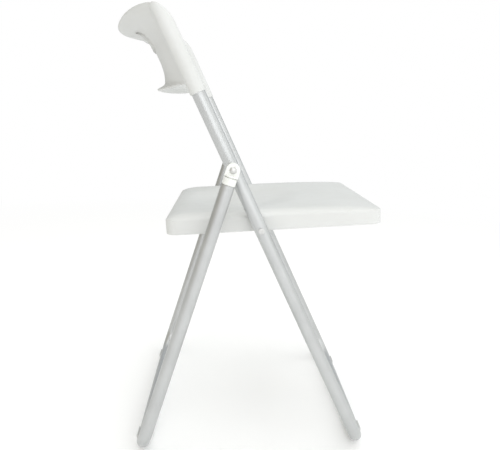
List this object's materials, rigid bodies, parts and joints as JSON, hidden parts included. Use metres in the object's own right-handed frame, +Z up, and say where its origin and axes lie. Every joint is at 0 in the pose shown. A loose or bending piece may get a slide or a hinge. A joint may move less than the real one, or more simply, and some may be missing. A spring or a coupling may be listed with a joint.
{
  "type": "folding chair",
  "caption": "Folding chair with crossed bent-tube frames, a moulded seat that tips up between the tubes, and a saddle-shaped moulded backrest with a hand hole.",
  "frame": {"origin": "on the floor, under the middle of the bounding box", "axes": "+X towards the front of the seat, +Y to the sitter's left, +Z up; the chair mirrors across Y = 0"},
  "size_m": [0.4642, 0.45, 0.7493],
  "materials": {
    "tube_steel": "satin silver-grey tube",
    "fastener_steel": "plain bright steel",
    "white_plastic": "satin off-white moulding",
    "pale_nylon": "plain natural nylon"
  },
  "bodies": {
    "front_frame": {"front_frame": "tube_steel", "backrest": "white_plastic", "backrest_screw_left": "fastener_steel", "backrest_screw_right": "fastener_steel", "hinge_rivet_left": "fastener_steel", "hinge_rivet_right": "fastener_steel", "hinge_washer_left": "pale_nylon", "hinge_washer_right": "pale_nylon", "seat_rivet_left": "fastener_steel", "seat_rivet_right": "fastener_steel", "seat_spacer_left": "pale_nylon", "seat_spacer_right": "pale_nylon", "front_glide_left": "white_plastic", "front_glide_right": "white_plastic"},
    "rear_frame": {"rear_frame": "tube_steel", "hinge_cap_left": "white_plastic", "hinge_cap_right": "white_plastic", "rear_glide_left": "white_plastic", "rear_glide_right": "white_plastic"},
    "seat": {"seat": "white_plastic", "slide_rod": "fastener_steel", "slot_bush_left": "pale_nylon", "slot_bush_right": "pale_nylon", "rod_clip_left": "fastener_steel", "rod_clip_right": "fastener_steel"}
  },
  "joints": [
    {"name": "seat_fold", "type": "hinge", "parent": "front_frame", "child": "seat", "pos_m": [0.0264, 0, 0.4044], "axis": [0, -1, 0], "range_deg": [0, 100.52]},
    {"name": "rear_fold", "type": "hinge", "parent": "front_frame", "child": "rear_frame", "pos_m": [-0.02225, 0, 0.5035], "axis": [0, -1, 0], "range_deg": [0, 37.2]}
  ],
  "couplings": [
    {"joint": "rear_fold", "follows": "seat_fold", "ratio": 0.37}
  ]
}
